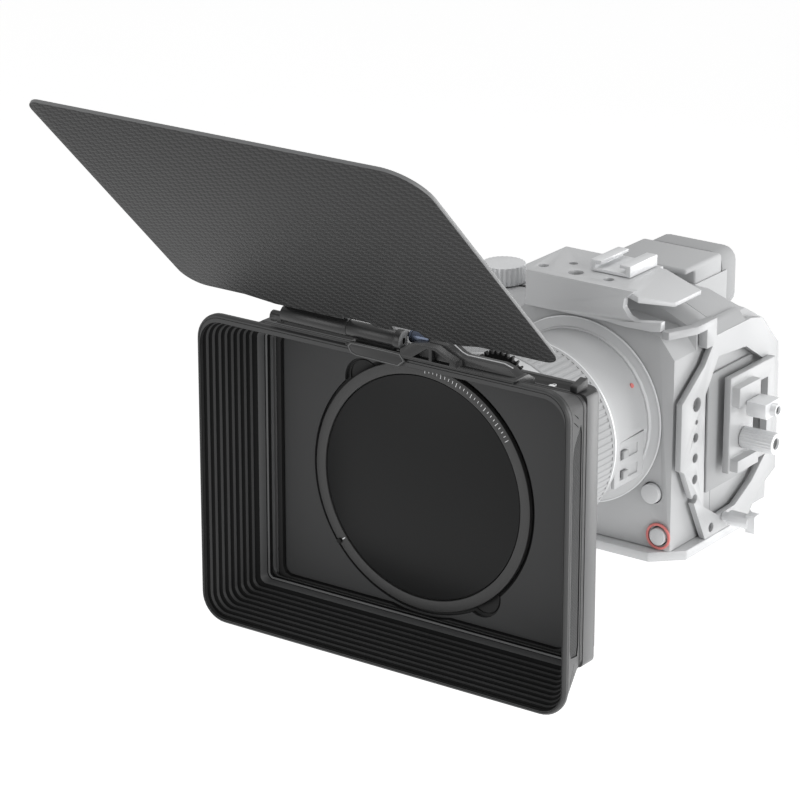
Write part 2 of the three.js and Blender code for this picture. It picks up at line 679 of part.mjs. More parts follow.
function cableClamp() {
  const arm = block(CAGE_OUT + GAP, 56, 183, 221, -28, 16);
  const cableWay = block(52, 57, 203, 215, -22, 8);
  const posts = [[3, 12], [-27, -21.5]].map(([z0, z1]) => block(55.9, 60, 184, 202, z0, z1));
  const bracket = cut(join(arm, ...posts), cableWay);
  piece("cable_clamp_bracket", bracket, "pale_metal");
  const jaw = join(
    plateX([[190, -2], [200, -2], [201.5, 1], [201.5, 5], [189, 5], [189, 0]], 60.3, 70),
    rodX(2.9, 70, 73, 195, 1.6, 20),
  );
  piece("cable_clamp_jaw", jaw, "light_metal");
  const knurl = plateX(knurlPoints(195, -14, 4.9, 0.4, 22), 56.3, 72.5);
  piece("cable_clamp_knob", knurl, "light_metal");
  const tee = join(
    rodX(2, CAGE_OUT + GAP, 57, 186, -49, 16),
    rodX(3.4, 56, 66, 186, -49, 16),
    block(65, 69.5, 183.6, 188.4, -53, -45),
  );
  piece("bracket_lock_knob", tee, "light_metal");
}

hood();
rearFrame();
tray();
filterRing();
thumbWheel();
trayLatch();
hinge();
flag();
lensClamp();
lens();
cameraShells();
grip();
viewfinder();
screen();
bodyControls();
cage();
cableClamp();

rig.position.set(0, -RIM_TO_BASE, AXIS_HEIGHT);
const cameraRig = new THREE.Group();
cameraRig.add(rig);

export default cameraRig;
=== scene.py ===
"""Looks of the cinema camera rig: matte box, lens, camera and half cage.

Every piece is built in millimetres from the centre of the hood's front rim
(+X to the camera's left, +Y back to the camera, +Z up) and turned into metres in
the frame's own axes by at().
"""
import math
from itertools import product

import bmesh
import bpy
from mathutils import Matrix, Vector


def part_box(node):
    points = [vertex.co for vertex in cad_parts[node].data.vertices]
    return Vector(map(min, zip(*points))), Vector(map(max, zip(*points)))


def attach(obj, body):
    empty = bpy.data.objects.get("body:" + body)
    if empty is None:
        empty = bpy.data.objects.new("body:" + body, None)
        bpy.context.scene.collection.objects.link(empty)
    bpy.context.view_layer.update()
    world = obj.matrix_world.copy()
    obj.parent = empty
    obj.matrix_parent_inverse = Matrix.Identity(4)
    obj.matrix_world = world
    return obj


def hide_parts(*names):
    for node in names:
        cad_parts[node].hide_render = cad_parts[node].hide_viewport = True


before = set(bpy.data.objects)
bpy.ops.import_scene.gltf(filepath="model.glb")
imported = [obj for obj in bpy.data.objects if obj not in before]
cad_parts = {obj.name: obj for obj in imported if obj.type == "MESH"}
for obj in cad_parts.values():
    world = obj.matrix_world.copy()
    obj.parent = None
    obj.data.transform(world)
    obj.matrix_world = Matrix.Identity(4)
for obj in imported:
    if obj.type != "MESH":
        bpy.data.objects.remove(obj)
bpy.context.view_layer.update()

MM = 0.001
PI = math.pi
HOOD_LOW, HOOD_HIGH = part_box("hood_shell")
RIM_CENTRE = Vector((0, HOOD_LOW.y, (HOOD_LOW.z + HOOD_HIGH.z) / 2))


def at(x, y, z):
    """A point in millimetres from the rim's centre, as metres in the frame."""
    return RIM_CENTRE + Vector((x, y, z)) * MM


def cad_box(node):
    """A CAD node's lowest and highest corners, in millimetres from the rim."""
    low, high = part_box(node)
    return (low - RIM_CENTRE) / MM, (high - RIM_CENTRE) / MM


GLASS_LOW, GLASS_HIGH = cad_box("filter_glass")
OPTICAL_Z = (GLASS_LOW.z + GLASS_HIGH.z) / 2


# ------------------------------------------------------------------ the camera
VIEW_AZIMUTH = math.radians(35.56)
VIEW_ELEVATION = math.radians(19.61)
VIEW_AIM = at(-1.1, 17.8, 42.4)
VIEW_DISTANCE = 1.4519
VIEW_LENS_MM = 162.8


def make_camera():
    """The view, aimed at VIEW_AIM from its azimuth, elevation and distance."""
    data = bpy.data.cameras.new("view")
    data.lens = VIEW_LENS_MM
    data.sensor_width = 36
    data.clip_end = 50
    camera = bpy.data.objects.new("view", data)
    bpy.context.scene.collection.objects.link(camera)
    level = math.cos(VIEW_ELEVATION)
    back = Vector((
        math.sin(VIEW_AZIMUTH) * level,
        -math.cos(VIEW_AZIMUTH) * level,
        math.sin(VIEW_ELEVATION),
    ))
    camera.location = VIEW_AIM + back * VIEW_DISTANCE
    camera.rotation_euler = back.to_track_quat("Z", "Y").to_euler()
    bpy.context.scene.camera = camera


make_camera()


# -------------------------------------------------------------- mesh building
def link(name, mesh):
    obj = bpy.data.objects.new(name, mesh)
    bpy.context.scene.collection.objects.link(obj)
    return obj


def mesh_object(name, points, faces, place=at):
    """A closed mesh from points in millimetres, its faces turned outwards."""
    mesh = bpy.data.meshes.new(name)
    mesh.from_pydata([place(*p) for p in points], [], faces)
    work = bmesh.new()
    work.from_mesh(mesh)
    bmesh.ops.remove_doubles(work, verts=work.verts, dist=1e-7)
    bmesh.ops.recalc_face_normals(work, faces=work.faces)
    work.to_mesh(mesh)
    work.free()
    return link(name, mesh)


def ring_loft(name, rings, closed=False, place=at):
    """Joins loops of equal length; the ends are capped unless it closes on itself."""
    count = len(rings[0])
    points = [p for ring in rings for p in ring]
    faces = []
    pairs = len(rings) if closed else len(rings) - 1
    for k in range(pairs):
        a, b = k * count, ((k + 1) % len(rings)) * count
        for i in range(count):
            j = (i + 1) % count
            faces.append((a + i, a + j, b + j, b + i))
    if not closed:
        faces.append(tuple(range(count)))
        faces.append(tuple(range(len(points) - count, len(points))))
    return mesh_object(name, points, faces, place)


def lathe(name, profile, sides, ripple=None):
    """A closed (radius, y) profile turned about the optical axis.

    ripple(index, angle) gives an extra radius for a profile point, for knurls.
    """
    rings = []
    for s in range(sides):
        angle = 2 * PI * s / sides
        ring = []
        for index, (r, y) in enumerate(profile):
            radius = r + (ripple(index, angle) if ripple else 0)
            ring.append((radius * math.cos(angle), y, OPTICAL_Z + radius * math.sin(angle)))
        rings.append(ring)
    return ring_loft(name, rings, closed=True)


AXES = {
    "x": lambda u, v, w: (w, u, v),
    "y": lambda u, v, w: (u, w, v),
    "z": lambda u, v, w: (u, v, w),
}


def prism(name, outline, low, high, axis="y", place=at):
    """An outline extruded along an axis: (y, z) for x, (x, z) for y, (x, y) for z."""
    turn = AXES[axis]
    rings = [[turn(u, v, w) for u, v in outline] for w in (low, high)]
    return ring_loft(name, rings, place=place)


def arc(cu, cv, r, start, end, steps):
    """Points on a circle about (cu, cv), both ends included."""
    points = []
    for i in range(steps + 1):
        a = start + (end - start) * i / steps
        points.append((cu + r * math.cos(a), cv + r * math.sin(a)))
    return points


def circle(cu, cv, r, steps=64):
    return arc(cu, cv, r, 0, 2 * PI, steps)[:-1]


def rounded(w, h, r, cu=0.0, cv=0.0, steps=10):
    """A rounded rectangle about (cu, cv)."""
    points = []
    for i, (su, sv) in enumerate(((1, 1), (-1, 1), (-1, -1), (1, -1))):
        centre = (cu + su * (w / 2 - r), cv + sv * (h / 2 - r))
        points += arc(*centre, r, i * PI / 2, (i + 1) * PI / 2, steps)
    return points


def rod(name, r, low, high, cu, cv, axis="y", sides=48):
    """A round bar along an axis, between low and high."""
    return prism(name, circle(cu, cv, r, sides), low, high, axis)


def block(name, x, y, z):
    """A box between the pairs of limits x, y and z."""
    outline = [(x[0], y[0]), (x[1], y[0]), (x[1], y[1]), (x[0], y[1])]
    return prism(name, outline, z[0], z[1], "z")


def apply_modifiers(obj):
    """Bakes an object's modifiers into its mesh."""
    graph = bpy.context.evaluated_depsgraph_get()
    mesh = bpy.data.meshes.new_from_object(obj.evaluated_get(graph))
    obj.modifiers.clear()
    old = obj.data
    obj.data = mesh
    bpy.data.meshes.remove(old)
    return obj


def boolean(obj, *others, operation="DIFFERENCE"):
    """Cuts the others away from obj, or joins them to it, and removes them."""
    for other in others:
        modifier = obj.modifiers.new("cut", "BOOLEAN")
        modifier.operation = operation
        modifier.solver = "EXACT"
        modifier.object = other
    apply_modifiers(obj)
    for other in others:
        bpy.data.objects.remove(other)
    return obj


def merge(name, *objects):
    """One object that holds the meshes of several, each still its own shell."""
    work = bmesh.new()
    for obj in objects:
        work.from_mesh(obj.data)
    mesh = bpy.data.meshes.new(name)
    work.to_mesh(mesh)
    work.free()
    for obj in objects:
        bpy.data.objects.remove(obj)
    return link(name, mesh)


BEVEL_ANGLE = math.radians(32)
MERGE_METRES = 2e-6
FLAT_ANGLE = math.radians(0.6)


def soften(obj, width=0.3, segments=2, smooth=38):
    """Rounds the sharp edges by width millimetres and shades the rest smooth."""
    if width:
        modifier = obj.modifiers.new("edges", "BEVEL")
        modifier.width = width * MM
        modifier.segments = segments
        modifier.limit_method = "ANGLE"
        modifier.angle_limit = BEVEL_ANGLE
        modifier.miter_outer = "MITER_ARC"
        apply_modifiers(obj)
    obj.data.shade_smooth()
    obj.data.set_sharp_from_angle(angle=math.radians(smooth))
    return obj


def finish(obj, body, slot, material, *nodes, width=0.3, segments=2, smooth=38):
    """Softens a piece, gives it its material and puts it on its body."""
    soften(obj, width, segments, smooth=smooth)
    if material is not None:
        obj.data.materials.clear()
        obj.data.materials.append(material)
    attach(obj, body)
    if nodes:
        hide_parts(*nodes)
    return obj


# Nodes with holes in their flat faces keep their triangles.
HOLED = {
    "cable_clamp_bracket", "lens_switch_plate", "cage_side_plate", "cage_top_plate",
    "cage_base_plate", "body_front_shell", "grip",
}


def refined(node, name):
    """A copy of a CAD node with its flat faces joined, to be detailed further."""
    work = bmesh.new()
    work.from_mesh(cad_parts[node].data)
    bmesh.ops.remove_doubles(work, verts=work.verts, dist=MERGE_METRES)
    if node not in HOLED:
        bmesh.ops.dissolve_limit(
            work, angle_limit=FLAT_ANGLE, verts=work.verts, edges=work.edges
        )
    mesh = bpy.data.meshes.new(name)
    work.to_mesh(mesh)
    work.free()
    return link(name, mesh)


# ------------------------------------------------------------------- materials
class Shader:
    """A small helper that adds and joins shader nodes."""

    def __init__(self, name, color, roughness, metallic=0.0, specular=0.5):
        self.material = bpy.data.materials.new(name)
        self.material.use_nodes = True
        self.tree = self.material.node_tree
        self.bsdf = self.tree.nodes["Principled BSDF"]
        self.put("Base Color", (*color, 1))
        self.put("Roughness", roughness)
        self.put("Metallic", metallic)
        self.put("Specular IOR Level", specular)
        self.height = None

    def put(self, hole_shade, value):
        """Sets a socket of the surface shader, or links another socket to it."""
        if isinstance(value, bpy.types.NodeSocket):
            self.tree.links.new(value, self.bsdf.inputs[hole_shade])
        else:
            self.bsdf.inputs[hole_shade].default_value = value

    def node(self, kind, inputs=None, **settings):
        """A new node with its inputs set or linked."""
        made = self.tree.nodes.new(kind)
        for key, value in settings.items():
            setattr(made, key, value)
        for key, value in (inputs or {}).items():
            if isinstance(value, bpy.types.NodeSocket):
                self.tree.links.new(value, made.inputs[key])
            else:
                made.inputs[key].default_value = value
        return made

    def math(self, operation, a, b=0.0):
        """The result of a Math node on two values."""
        return self.node("ShaderNodeMath", {0: a, 1: b}, operation=operation).outputs[0]

    def coords(self, turn=(0, 0, 0), scale=(1, 1, 1)):
        """Object coordinates, turned and then scaled."""
        place = self.node("ShaderNodeTexCoord").outputs["Object"]
        turned = self.node("ShaderNodeMapping", {"Vector": place, "Rotation": turn})
        sized = self.node("ShaderNodeMapping", {"Vector": turned.outputs[0], "Scale": scale})
        return sized.outputs[0]

    def noise(self, scale, detail=3.0, stretch=(1, 1, 1)):
        """Noise in object coordinates, drawn out along an axis by a small stretch."""
        vector = self.coords(scale=stretch)
        return self.node(
            "ShaderNodeTexNoise", {"Vector": vector, "Scale": scale, "Detail": detail}
        ).outputs["Fac"]

    def spread(self, value, low, high, start=0.3, end=0.7):
        """Maps a 0..1 value onto low..high."""
        return self.node(
            "ShaderNodeMapRange",
            {"Value": value, "From Min": start, "From Max": end, "To Min": low, "To Max": high},
        ).outputs[0]

    def blend(self, factor, a, b):
        """A colour between a and b."""
        mix = self.node("ShaderNodeMix", data_type="RGBA")
        self.tree.links.new(factor, mix.inputs["Factor"])
        mix.inputs["A"].default_value = (*a, 1)
        mix.inputs["B"].default_value = (*b, 1)
        return mix.outputs["Result"]

    def bump(self, height, depth_mm):
        """Raises the surface by a height of 0 to 1, on top of any earlier bump."""
        made = self.node(
            "ShaderNodeBump", {"Height": height, "Distance": depth_mm * MM, "Strength": 1.0}
        )
        if self.height is not None:
            self.tree.links.new(self.height, made.inputs["Normal"])
        self.height = made.outputs[0]
        self.put("Normal", self.height)


def grey(value, tint=(1.0, 1.0, 1.0)):
    """A grey with an optional tint."""
    return tuple(value * t for t in tint)


# A faint cool tint for the black and grey paints.
COOL = (0.99, 1.0, 1.012)


def grained(name, tone, roughness, grain=0.04, scale=2600, spread=0.12, metallic=0.0,
            specular=0.4, tint=COOL):
    """Moulded plastic or blasted metal: fine grain, cloudy tone and roughness."""
    s = Shader(name, grey(tone, tint), roughness, metallic, specular)
    cloud = s.noise(28, 4)
    dark, light = grey(tone * (1 - spread), tint), grey(tone * (1 + spread), tint)
    s.put("Base Color", s.blend(cloud, dark, light))
    s.put("Roughness", s.spread(cloud, roughness - 0.05, roughness + 0.06))
    s.bump(s.noise(scale, 2), grain)
    return s


def brushed(name, tone, roughness, along="x", metallic=1.0, tint=(1.0, 1.0, 1.0)):
    """Turned or drawn metal with fine lines along one axis."""
    s = Shader(name, grey(tone, tint), roughness, metallic)
    stretch = {"x": (0.04, 1, 1), "y": (1, 0.04, 1), "z": (1, 1, 0.04)}[along]
    lines = s.noise(3200, 2, stretch=stretch)
    s.put("Roughness", s.spread(lines, roughness - 0.08, roughness + 0.12))
    s.put("Base Color", s.blend(lines, grey(tone * 0.86, tint), grey(tone * 1.08, tint)))
    s.bump(lines, 0.01)
    return s


def woven(name, pitch, low, high, roughness, turn):
    """A two-over-two twill: bundles of fibre that pass over and under in turn."""
    s = Shader(name, grey(low, COOL), roughness, 0.0, 0.3)
    place = s.coords(turn=turn, scale=(1 / (pitch * MM),) * 3)
    split = s.node("ShaderNodeSeparateXYZ", {0: place})
    u, v = split.outputs[0], split.outputs[1]
    cell_u, cell_v = s.math("FLOOR", u), s.math("FLOOR", v)
    step = s.math("FLOORED_MODULO", s.math("SUBTRACT", cell_u, cell_v), 4.0)
    over = s.math("LESS_THAN", step, 1.5)
    crown_u = s.math("SINE", s.math("MULTIPLY", s.math("FRACT", u), PI))
    crown_v = s.math("SINE", s.math("MULTIPLY", s.math("FRACT", v), PI))
    warp = s.math("MULTIPLY", crown_v, over)
    weft = s.math("MULTIPLY", crown_u, s.math("SUBTRACT", 1.0, over))
    height = s.math("ADD", warp, weft)
    # The colour is lighter on the crowns of the bundles, most on those that pass over: a painted sheen
    # and painted shade of the weave.
    lit = s.math("MULTIPLY", height, s.spread(over, 0.25, 1.0, 0.0, 1.0))
    s.put("Base Color", s.blend(lit, grey(low, COOL), grey(high, COOL)))
    s.bump(height, 0.12)
    return s


def knitted(name, pitch, low, high, roughness):
    """A moulded basket texture on a side wall, in the YZ plane."""
    s = Shader(name, grey(low, COOL), roughness, 0.0, 0.12)
    place = s.coords(turn=(PI / 4, 0, 0), scale=(1 / (pitch * MM),) * 3)
    split = s.node("ShaderNodeSeparateXYZ", {0: place})
    waves = [s.math("SINE", s.math("MULTIPLY", split.outputs[i], 2 * PI)) for i in (1, 2)]
    height = s.math("MULTIPLY", waves[0], waves[1])
    # The colour follows the relief's height, lighter on the crests and darker in the hollows: painted
    # light and painted shade.
    s.put("Base Color", s.blend(s.spread(height, 0, 1, -1, 1), grey(low, COOL), grey(high, COOL)))
    s.bump(height, 0.35)
    return s


def dense_glass(name, tone, roughness, specular):
    """Dense filter glass: nearly black, with a faint uneven sheen."""
    s = Shader(name, grey(tone, COOL), roughness, 0.0, specular)
    s.put("Roughness", s.spread(s.noise(14, 2), roughness - 0.03, roughness + 0.03))
    s.put("Base Color", s.blend(s.noise(9, 1), grey(tone * 0.85, COOL), grey(tone * 1.1, COOL)))
    return s


def coated_glass(name):
    """A lens element: dark, glossy and faintly coloured towards its edge."""
    s = Shader(name, (0.05, 0.06, 0.09), 0.03)
    s.put("Coat Weight", 1.0)
    s.put("Coat Roughness", 0.02)
    facing = s.node("ShaderNodeLayerWeight", {"Blend": 0.4}).outputs["Facing"]
    s.put("Base Color", s.blend(facing, (0.03, 0.05, 0.08), (0.12, 0.06, 0.14)))
    return s


RED = (1.0, 0.30, 0.28)
STEEL_BLUE = (0.72, 0.86, 1.2)

# Every look by its short name.
SHADERS = {
    "hood": grained("hood_plastic", 0.042, 0.42, specular=0.35),
    # The inside look is a darker copy of the hood's plastic: painted shade inside the hood, near its
    # mouth.
    "hood_inside": grained("hood_inside", 0.020, 0.55, grain=0.05, specular=0.25),
    "hood_crest": grained("hood_crest", 0.042, 0.55, grain=0.05, specular=0.3),
    # The groove look is darker still: painted shade in the rib grooves, on the window's wall and at the
    # mouth's edge.
    "hood_painted_shade": grained("hood_painted_shade", 0.014, 0.8, grain=0.03, specular=0.05),
    # The lip look is a much lighter copy of the hood's plastic: a painted highlight along the window's
    # lip; it also draws the blank name plate's outline.
    "hood_lip": grained("hood_lip", 0.11, 0.5, grain=0.02),
    "hood_weave": knitted("hood_weave", 1.9, 0.012, 0.10, 0.6),
    # The band look is a lighter copy of the hood's plastic: painted light where the band faces the light.
    "hood_lit_band": grained("hood_lit_band", 0.085, 0.5, grain=0.03, specular=0.35),
    # The frame's side look is a lighter copy of its black for the faces that point sideways: painted
    # light from the side lamps.
    "frame_side_lit": grained("frame_side_lit", 0.12, 0.35, grain=0.015),
    "frame": grained("frame_black", 0.040, 0.38, grain=0.015, specular=0.4),
    "panel": grained("panel_black", 0.056, 0.55, grain=0.01, spread=0.05, specular=0.15),
    "ring": brushed("ring_black", 0.040, 0.5, "y", 0.0),
    # The tray look is a blacker copy of the frame's black: painted shade in the pocket seen through the
    # window and in the finger notches.
    "tray": grained("tray_shade_black", 0.010, 0.5, grain=0.015, specular=0.25),
    "ring_dark": grained("ring_dark", 0.006, 0.5, grain=0.01, specular=0.2),
    "flag": woven("flag_weave", 1.7, 0.005, 0.036, 0.6, turn=(PI / 4, 0, 0)),
    # The flag's edge look is a painted highlight on the sheet's cut edges.
    "flag_edge_highlight": grained("flag_edge_highlight", 0.16, 0.4, grain=0.01),
    "hinge": grained("hinge_black", 0.020, 0.28, grain=0.015),
    # The pale look on the next line is a painted highlight for the hinge arm's edge.
    "hinge_highlight": grained("hinge_highlight", 0.50, 0.4, grain=0.01),
    "cap": grained("hinge_cap", 0.19, 0.35, grain=0.01, spread=0.05),
    "stud": brushed("hinge_stud", 0.14, 0.28, "x", 0.8, STEEL_BLUE),
    "wheel": grained("wheel_black", 0.010, 0.5, specular=0.3),
    "glass": dense_glass("filter_glass", 0.017, 0.32, 0.12),
    "lens_glass": coated_glass("lens_glass"),
    "screen": dense_glass("screen_glass", 0.03, 0.08, 0.5),
    "steel": brushed("steel", 0.6, 0.28, "x"),
    "mark": grained("white_mark", 0.88, 0.6, grain=0.005, spread=0.03),
    "body": grained("body_grey", 0.45, 0.6, grain=0.05, spread=0.04),
    "rubber": grained("rubber_grey", 0.38, 0.85, grain=0.12, scale=1500, spread=0.04),
    "metal": grained("cage_grey", 0.56, 0.42, grain=0.03, spread=0.03, metallic=0.1),
    # The cage side look is a darker copy of the cage grey for the parts that face the key lamp: painted
    # shade.
    "cage_side": grained("cage_side_shaded_grey", 0.44, 0.42, grain=0.03, spread=0.03, metallic=0.1),
    "bright": grained("knob_grey", 0.74, 0.33, grain=0.015, spread=0.02, metallic=0.15),
    # The look on the next line darkens the bottom of the drilled holes: painted shade.
    "hole_shade": grained("hole_shade_grey", 0.10, 0.7),
    "red": grained("red_ring", 0.62, 0.5, grain=0.01, tint=RED),
    "circuit": grained("circuit_green", 0.08, 0.5),
}
MAT = {key: shader.material for key, shader in SHADERS.items()}


# -------------------------------------------------------------- the matte box
# Each outline is (width, height, corner radius, lift of its centre).
RIM = (182.0, 136.3, 12.0, 0.0)
NECK = (162.0, 116.2, 5.0, 0.0)
MOUTH = (178.0, 130.6, 10.0, -0.8)
WINDOW = (149.6, 109.0, 2.2, 0.0)
HOOD_DEPTH = (HOOD_HIGH.y - HOOD_LOW.y) / MM
RIM_DEPTH, FLARE_END = 2.0, 26.5
MOUTH_DEPTH, CORNER_LAW = 1.5, 0.6
REAR_EDGE = 0.3
BAND_START, BAND_END = 22.4, 26.0
# The front lip as (distance behind the rim, growth of the outline).
LIP = [
    (0.0, -1.58), (0.3, -1.5), (0.3, -1.32), (0.0, -1.25), (0.0, -1.05), (0.1, -0.65),
    (0.45, -0.3), (1.0, -0.15),
]
# The flare's groove and rear bead as (place on the flare, depth, growth).
FLARED = [
    (3.0, 3.2, -0.5), (3.6, 3.6, -0.5), (3.8, 3.9, 0.0),
    (24.6, 24.6, 0.0), (24.9, 24.9, 0.35), (25.9, 25.9, 0.35),
]
RIBS, RIB_PITCH, RIB_FIRST, RIB_DEPTH = 8, 2.37, 3.3, 0.95
# One rib as (place within its pitch, depth, look of the band up to the next loop); the groove bands are
# painted shade.
RIB_SECTION = [
    (0.34, 1.0, "hood_painted_shade"), (0.2, 0.0, "hood_crest"),
    (-0.2, 0.0, "hood_painted_shade"), (-0.34, 1.0, "hood_painted_shade"),
]
# The recess in each side as (y, z), and the plate that fills it.
INSET_LOWER = [(5.4, -40), (8.0, -44.5), (20.5, -49), (22.6, -45)]
INSET_OUTLINE = INSET_LOWER + [(y, -z) for y, z in reversed(INSET_LOWER)]
INSET_DEPTH, INSET_GAP, INSET_MIDDLE = 0.8, 0.35, 14
PLATE_LENGTH, PLATE_BOTTOM, PLATE_TOP = 0.992, -0.95, -0.4
# The slanting grooves past the recess: each runs from one (y, z offset) to the other.
SLANTS, SLANT_START, SLANT_PITCH = 3, 51.5, 3.6
SLANT_FRONT, SLANT_BACK, SLANT_WIDTH, SLANT_DEPTH = (6.5, 3.2), (14.7, -1.6), 0.8, 0.35
CUT_CLEAR = 3


def between(a, b, t):
    """The mix of two outlines of the form above."""
    return tuple(p + (q - p) * t for p, q in zip(a, b))


def loop_xz(size, y, grow=0.0):
    """An outline at depth y, grown by a number of millimetres."""
    w, h, r, lift = size
    outline = rounded(w + 2 * grow, h + 2 * grow, max(r + grow, 0.5), steps=9)
    return [(u, y, v + lift) for u, v in outline]


def flare(y):
    """The hood's outside between the rim and the neck."""
    return between(RIM, NECK, (y - RIM_DEPTH) / (FLARE_END - RIM_DEPTH))


def funnel(y):
    """The hood's inside between the mouth and the window."""
    t = (y - MOUTH_DEPTH) / (BAND_END - MOUTH_DEPTH)
    w, h, _, lift = between(MOUTH, WINDOW, t)
    return w, h, MOUTH[2] + (WINDOW[2] - MOUTH[2]) * t ** CORNER_LAW, lift


def on_wall(side):
    """Places (y, z, height above the wall) on the hood's left or right outside."""
    def place(y, z, n):
        half = flare(y)[0] / 2
        return at(side * (half + n), y, z)
    return place


def hood_outside():
    """Loops from the front lip over the flare to the rear face, in one look."""
    loops = [loop_xz(RIM, y, grow) for y, grow in LIP]
    loops += [loop_xz(RIM, 1.2), loop_xz(RIM, RIM_DEPTH + 0.6)]
    loops += [loop_xz(flare(section), y, grow) for section, y, grow in FLARED]
    loops += [loop_xz(NECK, FLARE_END), loop_xz(NECK, HOOD_DEPTH - REAR_EDGE)]
    loops += [loop_xz(NECK, HOOD_DEPTH, -REAR_EDGE), loop_xz(WINDOW, HOOD_DEPTH, REAR_EDGE)]
    return [(loop, "hood") for loop in loops]


def hood_inside():
    """Loops from the window over the ribs to the mouth, each with the look it starts: painted shade in
    the grooves, on the window wall and at the mouth, a painted highlight on the window's lip and painted
    light on the smooth band behind the ribs.
    """
    loops = [
        (loop_xz(WINDOW, HOOD_DEPTH - REAR_EDGE), "hood_painted_shade"),
        (loop_xz(WINDOW, BAND_END + 0.4), "hood_lip"),
        (loop_xz(WINDOW, BAND_END, 0.7), "hood_painted_shade"),
        (loop_xz(funnel(BAND_END - 0.4), BAND_END - 0.6, 0.5), "hood_lit_band"),
        (loop_xz(funnel(BAND_START), BAND_START), "hood_painted_shade"),
    ]
    for k in reversed(range(RIBS)):
        for offset, depth, look in RIB_SECTION:
            y = RIB_FIRST + k * RIB_PITCH + offset * RIB_PITCH
            loops.append((loop_xz(funnel(y), y, depth * RIB_DEPTH), look))
    loops += [
        (loop_xz(funnel(1.8), 2.2, 0.6), "hood_painted_shade"),
        (loop_xz(MOUTH, 1.7), "hood_inside"),
        (loop_xz(MOUTH, 0.4, 0.06), "hood_painted_shade"),
        (loop_xz(MOUTH, 0.1, 0.25), "hood"),
    ]
    return loops


def hood_cutters():
    """The recess in each side, and the short slanting grooves past its ends."""
    cutters = []
    for side in (1, -1):
        place = on_wall(side)
        cutters.append(prism("inset", INSET_OUTLINE, -INSET_DEPTH, CUT_CLEAR, "z", place=place))
        for k, end in product(range(SLANTS), (1, -1)):
            middle = SLANT_START + SLANT_PITCH * k
            (front, rise), (back, fall) = SLANT_FRONT, SLANT_BACK
            slant = [(front, rise), (front + SLANT_WIDTH, rise), (back + SLANT_WIDTH, fall), (back, fall)]
            outline = [(y, end * (middle + z)) for y, z in slant]
            cutters.append(prism("slant", outline, -SLANT_DEPTH, CUT_CLEAR, "z", place=place))
    return cutters


def hood():
    """The hood as one closed loft, each band with the look given by its first loop."""
    loops = hood_outside() + hood_inside()
    obj = ring_loft("hood", [loop for loop, _ in loops], closed=True)
    keys = ["hood", "hood_painted_shade", "hood_inside", "hood_crest", "hood_lip", "hood_lit_band"]
    for key in keys:
        obj.data.materials.append(MAT[key])
    count = len(loops[0][0])
    for poly in obj.data.polygons:
        poly.material_index = keys.index(loops[poly.index // count][1])
    boolean(obj, *hood_cutters())
    finish(obj, "camera_rig", "matte_black", None, "hood_shell", width=0, smooth=30)


def hood_insets():
    """The textured plate that fills the recess in each side of the hood."""
    for side, name in ((1, "left"), (-1, "right")):
        outline = [
            (y + (INSET_GAP if y < INSET_MIDDLE else -INSET_GAP), z * PLATE_LENGTH)
            for y, z in INSET_OUTLINE
        ]
        place = on_wall(side)
        plate = prism("hood_inset_" + name, outline, PLATE_BOTTOM, PLATE_TOP, "z", place=place)
        finish(plate, "camera_rig", "matte_black", MAT["hood_weave"], width=0.12)


def two_tone(obj, first, second, is_second):
    """Gives a piece two materials, the second where the test on a face is true."""
    obj.data.materials.clear()
    for key in (first, second):
        obj.data.materials.append(MAT[key])
    for poly in obj.data.polygons:
        poly.material_index = int(is_second(poly))


def rear_frame():
    """The frame behind the hood, its sideways faces painted lighter as painted light from the side."""
    obj = soften(refined("rear_frame", "matte_box_frame"), 0.35, 2)
    two_tone(obj, "frame", "frame_side_lit", lambda poly: abs(poly.normal.x) > 0.8)
    finish(obj, "camera_rig", "satin_black", None, "rear_frame", width=0)


PANEL_LOW, PANEL_HIGH = cad_box("tray_panel")
PANEL_TALL, PANEL_HOLE_R, PANEL_BULGE_R = 107.0, 54.9, 55.9
NOTCH_R, NOTCH_AT, NOTCH_ANGLE = 9.5, 50.0, 2.2
NOTCHES = {"upper": NOTCH_ANGLE, "lower": NOTCH_ANGLE - PI}
SCOOP_R, HOLLOW_R = NOTCH_R - 1.6, NOTCH_R - 3.0
RING_R, RING_INNER, RING_SEAT = 53.3, 48.5, 46.5


def on_ring(r, angle):
    """The (x, z) of a point at a radius and angle about the optical axis."""
    return r * math.cos(angle), OPTICAL_Z + r * math.sin(angle)


def tray():
    """The drop-in tray and its panel, with the ring's hole and two finger notches."""
    obj = refined("tray_frame", "filter_tray")
    # The tray's frame is painted near black: painted shade of the pocket behind the window.
    finish(obj, "tray", "satin_black", MAT["tray"], "tray_frame", width=0.25)

    low, high = PANEL_LOW.y, PANEL_HIGH.y
    width = PANEL_HIGH.x - PANEL_LOW.x
    panel = prism("tray_panel_skin", rounded(width, PANEL_TALL, 4, steps=8), low, high)
    bulge = rod("bulge", PANEL_BULGE_R, low, high, 0, OPTICAL_Z, sides=180)
    boolean(panel, bulge, operation="UNION")
    cutters = [rod("hole", PANEL_HOLE_R, low - 1, high + 1, 0, OPTICAL_Z, sides=180)]
    for angle in NOTCHES.values():
        cutters.append(rod("notch", NOTCH_R, low - 1, high + 1, *on_ring(NOTCH_AT, angle), sides=72))
    boolean(panel, *cutters)
    finish(panel, "tray", "satin_black", MAT["panel"], "tray_panel", width=0.35, segments=3)
    finger_scoops(high)


